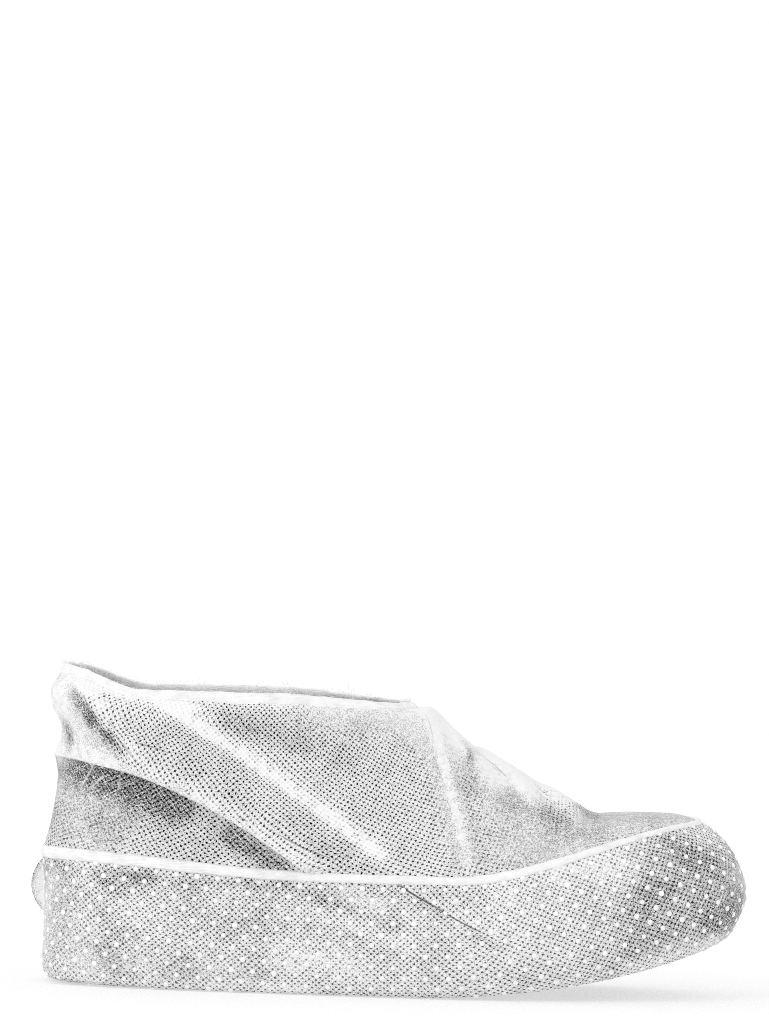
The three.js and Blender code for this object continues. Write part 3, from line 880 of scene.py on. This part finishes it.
# %% A socket that does arithmetic
class Wire:
    """An output socket of a shader tree."""

    def __init__(self, tree, socket):
        self.tree, self.socket = tree, socket

    @classmethod
    def node(cls, tree, kind, settings=None, sockets=None, output=0):
        """Adds a node. Settings are set first, then each socket gets its value or link."""
        made = tree.nodes.new("ShaderNode" + kind)
        for key, value in (settings or {}).items():
            if key == "stops":
                ramp = made.color_ramp.elements
                while len(ramp) < len(value):
                    ramp.new(0.5)
                for stop, (place, grey) in zip(ramp, value):
                    stop.position, stop.color = place, (grey, grey, grey, 1)
            else:
                setattr(made, key, value)
        for key, value in (sockets or {}).items():
            if isinstance(value, Wire):
                tree.links.new(value.socket, made.inputs[key])
            else:
                made.inputs[key].default_value = value
        return cls(tree, made.outputs[output]) if made.outputs else made

    def math(self, operation, *values):
        return Wire.node(self.tree, "Math", {"operation": operation}, dict(enumerate(values)))

    def __add__(self, other):
        return self.math("ADD", self, other)

    def __sub__(self, other):
        return self.math("SUBTRACT", self, other)

    def __rsub__(self, other):
        return self.math("SUBTRACT", other, self)

    def __mul__(self, other):
        return self.math("MULTIPLY", self, other)

    __radd__, __rmul__ = __add__, __mul__

    def cosine(self):
        return self.math("COSINE", self)

    def between(self, low, high):
        """0 below low, 1 above high, smooth in between."""
        settings = {"interpolation_type": "SMOOTHSTEP"}
        sockets = {"Value": self, "From Min": low, "From Max": high}
        return Wire.node(self.tree, "MapRange", settings, sockets)

    def under(self, cover, share):
        """This colour with another one, or a plain grey, laid over it by share."""
        if not isinstance(cover, Wire):
            cover = (linear(cover), linear(cover), linear(cover), 1)
        return Wire.node(self.tree, "Mix", {"data_type": "RGBA"}, {0: share, 6: self, 7: cover}, 2)


def linear(grey):
    """Linear light of a grey given as it looks on a screen."""
    return ((grey + 0.055) / 1.055) ** 2.4 if grey > 0.04045 else grey / 12.92


def finish(name):
    """A new material with an empty tree, and a short way to add nodes to it."""
    material = bpy.data.materials.new(name)
    material.use_nodes = True
    material.node_tree.nodes.clear()

    def node(*details):
        return Wire.node(material.node_tree, *details)

    return material, node


def lay_on(node, sockets):
    """Ends a tree with one Principled shader that has these sockets."""
    node("OutputMaterial", {}, {"Surface": node("BsdfPrincipled", {}, sockets)})


print("grey 0.5 is", round(linear(0.5), 3), "in linear light")

# %% [markdown]
# ## Noise, filaments and creases
# Filaments are noise that is stretched in a slanted direction. A crease is a thin line between two places:
# painted shade in pinched folds and along facet edges, painted highlight along sharp ridges. Its ends are
# given in the side view and looked up on the flat cloth, so that the line can be drawn there by the shader
# and needs no cut in the mesh.

# %% Noise and filaments
Streak = namedtuple("Streak", "angle length width shift")
STREAK_RANGE = (0.28, 0.72)


def look_ramp(node, stops, value):
    """A ramp of greys, given as they look on a screen."""
    linear_stops = [(place, linear(grey)) for place, grey in stops]
    return node("ValToRGB", {"stops": linear_stops}, {"Fac": value})


def soft_noise(node, place, size, detail=2.0):
    return node("TexNoise", {}, {"Vector": place, "Scale": 1 / size, "Detail": detail})


def turned(node, flat, place, angle, length, width):
    """The flat cloth seen from a place on it, turned, and measured in lengths and widths."""
    sockets = {"Location": (*map(float, place), 0), "Rotation": (0, 0, angle), "Scale": (length, width, 1)}
    return node("Mapping", {"vector_type": "TEXTURE"}, {"Vector": flat, **sockets})


def filaments(node, flat, streak):
    """Stretched noise, from 0 to 1, along one direction of the flat cloth."""
    angle, place = math.radians(streak.angle), (streak.shift, streak.shift)
    lanes = turned(node, flat, place, angle, streak.length, streak.width)
    sockets = {"Vector": lanes, "Scale": 1.0, "Detail": 2.0, "Roughness": 0.6}
    return node("TexNoise", {}, sockets).between(*STREAK_RANGE)


def xy(node, vector):
    return [node("SeparateXYZ", {}, {"Vector": vector}, part) for part in "XY"]


print("filaments use the noise between", *STREAK_RANGE)

# %% Table of creases
# A positive shade makes a line of painted shade, a negative one a line of painted highlight.
Crease = namedtuple("Crease", "name start end width shade", defaults=(0.55,))
UPPER_CREASES = [
    Crease("tuck_edge_high", (-130.5, 123), (-120.5, 110), 0.7),
    Crease("tuck_edge_low", (-121.5, 111), (-106, 95), 0.7, 0.5),
    Crease("tuck_fold", (-120, 112.5), (-111, 104), 0.6, 0.4),
    Crease("short_high", (-63, 112), (-57, 108.5), 0.5),
    Crease("short_heel", (-108, 103), (-92, 99), 0.4),
    Crease("short_drape", (-64, 74), (-58, 71), 0.4),
    Crease("long_drape", (-48, 68), (-22, 55.5), 0.45),
    Crease("facet_high", (34.5, 103.5), (39, 100), 0.7, 0.3),
    Crease("facet_line", (37.5, 101.2), (44.5, 95.8), 0.8, 0.45),
    Crease("facet_tail", (43.5, 96.5), (50, 90.8), 0.8, 0.35),
    Crease("facet_rim", (76.5, 82.3), (75.7, 77.1), 0.8, -0.5),
    Crease("turn_high", (12.9, 118.2), (17.8, 104.6), 0.6, 0.25),
    Crease("turn_low", (17.2, 101.5), (22.7, 86.8), 0.6, 0.25),
    Crease("heel_dash", (-126.7, 66), (-122, 69), 0.5),
    Crease("heel_slant", (-112.4, 77), (-105.7, 83), 0.5, 0.4),
    Crease("heel_pale_high", (-125, 93), (-132, 81), 0.8, -0.5),
    Crease("heel_pale_mid", (-120, 89), (-127.4, 81), 0.8, -0.5),
    Crease("heel_pale_turn", (-127.4, 81), (-125, 75), 0.7, -0.4),
    Crease("heel_pale_low", (-132.7, 70), (-126, 65), 0.7, -0.45),
    Crease("heel_pale_side", (-113.5, 90), (-115, 80), 0.7, -0.35),
]
PANEL_CREASES = [
    Crease("tuck_line", (1.5, 48.4), (25, 36.2), 0.85, 0.95),
    Crease("tuck_tail", (20, 38.6), (42, 27.6), 0.65, 0.9),
]


def on_flat(grid, flat, creases):
    """Creases with their ends on the flat cloth, looked up on the near side."""
    side = grid[:, : COLUMNS // 2]
    found = []
    for crease in creases:
        gaps = (np.hypot(side[..., 0] - x, side[..., 2] - z) for x, z in (crease.start, crease.end))
        start, end = (flat[np.unravel_index(gap.argmin(), gap.shape)] for gap in gaps)
        found.append(crease._replace(start=start, end=end))
    return found


def crease_mask(node, flat, crease):
    """1 along a thin line between two points of the flat cloth."""
    ahead = crease.end - crease.start
    angle, length = math.atan2(ahead[1], ahead[0]), float(np.hypot(*ahead))
    along, across = xy(node, turned(node, flat, crease.start, angle, length, crease.width))
    ends = along.between(0, 0.2) * (1 - along).between(0, 0.3)
    return ends * (1 - across.math("ABSOLUTE", across)).between(0, 1)


upper_lines = on_flat(upper_grid, upper_flat, UPPER_CREASES)
panel_lines = on_flat(wall_grid, wall_flat, PANEL_CREASES)
print("creases:", len(upper_lines) + len(panel_lines))

# %% [markdown]
# ## Spunbond cloth
# Spunbond cloth is a mat of endless filaments, pressed together by a roller with a lattice of fine points.
# Each point is a clear spot, so it looks dark where the cloth lies tight and vanishes where it stands off.
# Two diagonal cosine waves peak together on such a staggered lattice, and where one of them leads, the
# points are drawn out. Between them the cloth puffs up into whiter pillows. Where it is doubled, scattered
# specks take the lattice's place. An image would do too, but sums on the flat coordinates, in millimetres,
# stay sharp at any distance.

# %% What the finish reads
Noise = namedtuple("Noise", "size detail low high")
CLOUDS, MOTTLE, PATCH = Noise(15, 3, 0.25, 0.75), Noise(3, 2, 0.25, 0.75), Noise(5, 2, 0.3, 0.7)
GRAIN, FLECK = Noise(0.8, 1, 0.3, 0.7), Noise(0.55, 0, 0.42, 0.7)
SPECK_SIZE, MOTTLE_SHARE, TIGHT_RANGE = 1.5, 0.16, (0.45, 0.95)
RIGHT, LEFT = Streak(41, 10, 0.7, 3), Streak(-47, 10, 0.7, 71)
Fields = namedtuple("Fields", "flat mottle patch grain fleck scatter right left tight clear depth")


def cloth_fields(node, cloudy):
    """Noises, filaments, how tightly the cloth lies with its painted shade and highlight, how clear its
    bonds are and how deep its greys.
    """
    flat = node("UVMap", {"uv_map": "cloth"})
    kinds = (CLOUDS, MOTTLE, PATCH, GRAIN, FLECK)
    noises = [soft_noise(node, flat, kind.size, kind.detail).between(kind.low, kind.high) for kind in kinds]
    clouds, mottle, patch, grain, fleck = noises
    sockets = {"Vector": flat, "Scale": 1 / SPECK_SIZE}
    scatter = node("TexVoronoi", {"voronoi_dimensions": "2D"}, sockets)
    right, left = (filaments(node, flat, streak) for streak in (RIGHT, LEFT))
    tight, clear = (node("Attribute", {"attribute_name": key}, {}, "Fac") for key in ("tight", "clear"))
    tight = tight + (clouds - 0.5) * cloudy + (mottle - 0.5) * MOTTLE_SHARE
    depth = tight.between(*TIGHT_RANGE)
    return Fields(flat, mottle, patch, grain, fleck, scatter, right, left, tight, clear, depth)


print("cloth fields:", Fields._fields)

# %% Bond points
WANDER, WANDER_SCALE = 1.6, 0.09
BOND_EDGE = (0.49, 0.67)


def bond_points(node, cloth, repeat, strength):
    """Waves that peak on the bond points, and how strongly each place is pressed."""
    clear, depth = cloth.clear, cloth.depth
    wander = node("TexNoise", {}, {"Vector": cloth.flat, "Scale": WANDER_SCALE, "Detail": 1.0}, "Color")
    shift = {0: wander, 1: (WANDER, WANDER, 0), 2: cloth.flat}
    moved = xy(node, node("VectorMath", {"operation": "MULTIPLY_ADD"}, shift))
    along, across = (way * (2 * math.pi / step) for way, step in zip(moved, repeat))
    drawn = (cloth.patch - 0.5) * mix(0.1, 0.2, depth)
    waves = (along + across).cosine() * (0.5 + drawn) + (along - across).cosine() * (0.5 - drawn)
    waves = waves * clear + (1 - 1.8 * cloth.scatter) * (1 - clear)
    waves = waves * (1 + 1.2 * clear * (1 - clear)) + (cloth.grain - 0.5) * mix(0.4, 0.9, depth)
    crossing = cloth.right.between(0.5, 1.0) + cloth.left.between(0.5, 1.0)
    bonds = (waves - crossing * mix(0.05, 0.15, depth)).between(*BOND_EDGE)
    shown = 0.1 + 0.5 * clear.between(0.0, 0.6) + 0.25 * clear + 0.2 * depth
    return waves, bonds * shown * strength


print("a bond's soft edge lies between", *BOND_EDGE, "of the waves")

# %% The spunbond finish
CLOTH_LOOK = ((0.0, 0.935), (0.4, 0.92), (0.58, 0.87), (0.74, 0.775), (0.88, 0.63), (1.0, 0.45))
BOND_LOOK = ((0.0, 0.9), (0.15, 0.76), (0.28, 0.45), (0.38, 0.16), (0.48, 0.04), (1.0, 0.02))
# The two crease greys on this line are the painted shade and the painted highlight of the creases.
CLOTH_WHITE, CREASE_SHADE_GREY, CREASE_HIGHLIGHT_GREY = 0.97, 0.3, 0.95
BUMP_DEPTH, CLOTH_GLOSS = 0.0004, 0.08


def cloth_colour(node, cloth, waves, bonds):
    """Grey cloth with whiter filaments and pillows, and with dark flecks and bond points."""
    right, left, grain, clear, depth = cloth.right, cloth.left, cloth.grain, cloth.clear, cloth.depth
    lie = cloth.tight + (right + left - 1) * depth * 0.2 + 0.08 * (1 - clear)
    pressed = look_ramp(node, BOND_LOOK, cloth.tight + (cloth.mottle - 0.5) * 0.3)
    strands = right.between(0.7, 0.9) + left.between(0.7, 0.9)
    bright = (0.45 - grain).between(0, 0.4) * depth * 0.4
    pillow = (0.15 - waves).between(0, 0.8) * mix(0.24, 0.84, grain) * mix(1, 0.6, depth)
    white = strands * (0.26 + 0.3 * depth - 0.14 * clear) + bright + pillow
    colour = look_ramp(node, CLOTH_LOOK, lie).under(CLOTH_WHITE, white)
    return colour.under(pressed, cloth.fleck * mix(0.4, 0.7, depth)).under(pressed, bonds)


def spunbond(name, repeat, strength, cloudy, creases):
    material, node = finish(name)
    cloth = cloth_fields(node, cloudy)
    waves, bonds = bond_points(node, cloth, repeat, strength)
    # Creases lay painted shade and painted highlight over the cloth; the painted shade also dents the bump.
    masks = [(crease.shade, crease_mask(node, cloth.flat, crease)) for crease in creases]
    dark = sum(mask * shade for shade, mask in masks if shade > 0)
    pale = sum(mask * -shade for shade, mask in masks if shade < 0)
    colour = cloth_colour(node, cloth, waves, bonds).under(CREASE_SHADE_GREY, dark).under(CREASE_HIGHLIGHT_GREY, pale)
    height = (cloth.right + cloth.left) * 0.25 + cloth.mottle * 0.3 - bonds * 0.4 - dark
    bump = node("Bump", {}, {"Height": height, "Strength": 0.35, "Distance": BUMP_DEPTH})
    sockets = {"Base Color": colour, "Roughness": 0.9 - 0.12 * bonds, "Normal": bump}
    lay_on(node, {**sockets, "Specular IOR Level": CLOTH_GLOSS})
    return material


upper_finish = spunbond("upper spunbond", (2.63, 2.3), strength=1.08, cloudy=0.18, creases=upper_lines)
panel_finish = spunbond("panel spunbond", (2.8, 2.4), strength=0.96, cloudy=0.28, creases=panel_lines)
upper.data.materials.append(upper_finish)
for piece in (panel, fin):
    piece.data.materials.append(panel_finish)
print("spunbond nodes:", len(panel_finish.node_tree.nodes))

# %% [markdown]
# ## Welded seam, rolled hem, fibres and rubber
# The welt and the hem are the same cloth in several layers, so no bond points show and only faint filaments
# and pucker shadows are left. The loose fibres are plain white, and the drops are a smoother, denser white.

# %% Band, fibre and rubber finishes
SEAM_SLANT, SEAM_STREAK, SEAM_SHIFT, SEAM_CLOUD = 8, 0.5, 5, 6
SEAM_GLOSS, RUBBER_GLOSS = 0.25, 0.4


def layered_cloth(name, bright, streak_length):
    material, node = finish(name)
    flat = node("UVMap", {"uv_map": "cloth"})
    strands = filaments(node, flat, Streak(SEAM_SLANT, streak_length, SEAM_STREAK, SEAM_SHIFT))
    clouds = soft_noise(node, flat, SEAM_CLOUD)
    shade = (clouds - 0.5) * 0.9 + (strands - 0.5) * 0.3 + 0.5
    colour = look_ramp(node, ((0.1, bright - 0.1), (0.5, bright - 0.01), (0.8, bright + 0.02)), shade)
    sockets = {"Height": strands + clouds * 0.5, "Strength": 0.3, "Distance": BUMP_DEPTH}
    bump = node("Bump", {}, sockets)
    sockets = {"Base Color": colour, "Roughness": 0.82 + 0.15 * clouds, "Normal": bump}
    lay_on(node, {**sockets, "Specular IOR Level": SEAM_GLOSS})
    return material


def dense_white(name, bright, rough, size):
    material, node = finish(name)
    clouds = soft_noise(node, node("TexCoord", {}, {}, "Object"), size * MM)
    colour = look_ramp(node, ((0.25, bright - 0.06), (0.7, bright)), clouds)
    sockets = {"Base Color": colour, "Roughness": rough + 0.15 * clouds}
    lay_on(node, {**sockets, "Specular IOR Level": RUBBER_GLOSS})
    return material


welt.data.materials.append(layered_cloth("welded seam cloth", bright=0.955, streak_length=9))
hem.data.materials.append(layered_cloth("rolled hem cloth", bright=0.95, streak_length=7))
fibres.data.materials.append(dense_white("loose filament", bright=0.95, rough=0.7, size=3))
dots.data.materials.append(dense_white("grip rubber", bright=0.97, rough=0.4, size=2))
print("finishes:", [m.name for m in bpy.data.materials if m.users])

# %% [markdown]
# ## Floor and light
# White cloth needs even light with a gentle direction: a white sky all round, one large soft lamp from the
# upper left that models the folds, and a pale floor that returns light from below. The floor also glows a
# little, which keeps the shadow as faint as on a lit studio table. The denoiser is off and the pixel filter
# is narrow, because both would smear bond points that are only two pixels wide.

# %% Sky and lamp
KEY_PLACE, KEY_TARGET = Vector((-1.5, -2.0, 1.5)), Vector((0, 0, 0.06))
KEY_SIZE, KEY_WATTS, SKY_STRENGTH, PIXEL_FILTER = 1.3, 13, 1.0, 0.8
scene = bpy.context.scene
scene.view_settings.view_transform = "Standard"
scene.cycles.filter_width = PIXEL_FILTER
scene.cycles.use_denoising = False
world = bpy.data.worlds.new("studio")
world.use_nodes = True
sky = world.node_tree.nodes["Background"].inputs
sky["Color"].default_value = (1, 1, 1, 1)
sky["Strength"].default_value = SKY_STRENGTH
world.cycles.sampling_method = "NONE"
scene.world = world
lamp_data = bpy.data.lights.new("key lamp", "AREA")
lamp_data.shape, lamp_data.size, lamp_data.energy = "DISK", KEY_SIZE, KEY_WATTS
lamp = bpy.data.objects.new("key lamp", lamp_data)
lamp.location = KEY_PLACE
lamp.rotation_euler = (KEY_TARGET - KEY_PLACE).to_track_quat("-Z", "Y").to_euler()
bpy.context.collection.objects.link(lamp)
print("lamp stands off by", round((KEY_TARGET - KEY_PLACE).length, 2), "m")

# %% The pale floor
FLOOR_EDGE, FLOOR_DROP = 40000, 0.6
FLOOR_GREY, FLOOR_GLOW = 0.52, 0.45
floor_points = [(x * FLOOR_EDGE, y * FLOOR_EDGE, 0) for x, y in ((-1, -1), (1, -1), (1, 1), (-1, 1))]
floor = make_piece("studio_floor", floor_points, [[0, 1, 2, 3]])
floor.location.z = -FLOOR_DROP * MM
paint, node = finish("pale floor")
glow = {"Emission Color": (1, 1, 1, 1), "Emission Strength": FLOOR_GLOW}
lay_on(node, {"Base Color": (FLOOR_GREY, FLOOR_GREY, FLOOR_GREY, 1), "Roughness": 1.0, **glow})
floor.data.materials.append(paint)

# %% [markdown]
# ## Camera
# The cover is seen from its side through a long lens, a little above the ankle, with a slight roll.

# %% Camera
IMAGE_HEIGHT, SENSOR, CLIP_END = 1024, 36, 200
MM_PER_PIXEL, DISTANCE, EYE_HEIGHT, AXIS_X, ROLL = 0.4255, 2500, 202, -5.7, 1.5
camera_data = bpy.data.cameras.new("camera")
camera = bpy.data.objects.new("camera", camera_data)
bpy.context.collection.objects.link(camera)
camera_data.sensor_width = SENSOR
camera_data.lens = SENSOR * DISTANCE / (MM_PER_PIXEL * IMAGE_HEIGHT)
camera_data.clip_end = CLIP_END
camera.matrix_world = (
    Matrix.Translation((AXIS_X * MM, -DISTANCE * MM, EYE_HEIGHT * MM))
    @ Matrix.Rotation(math.radians(90), 4, "X")
    @ Matrix.Rotation(math.radians(ROLL), 4, "Z")
)
scene.camera = camera
print("lens, mm:", round(camera_data.lens, 1))

# %% [markdown]
# ## Joining the pieces to the part
# Every piece rides on the part's one body. The cloth stands for the plain solids, which are hidden.
# At the end the areas of the upper and the panel are measured.


def cloth_area(grid):
    """Area of a closed grid of cloth, in square metres."""
    ahead = np.roll(grid, -1, axis=1)
    across = np.cross(ahead[1:] - grid[:-1], grid[1:] - ahead[:-1])
    return float(np.linalg.norm(across, axis=2).sum() / 2 * MM**2)


for piece, slot in (
    (upper, "upper_cloth"),
    (panel, "grip_cloth"),
    (welt, "seam_tape"),
    (hem, "hem_elastic"),
    (fin, "grip_cloth"),
    (dots, "grip_cloth"),
    (fibres, "hem_elastic"),
):
    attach(piece, "root")
for piece, solid in ((upper, "upper"), (panel, "grip_panel"), (welt, "welt_seam"), (hem, "ankle_hem")):
    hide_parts(solid)
cloth_area(upper_grid)
cloth_area(panel_grid)
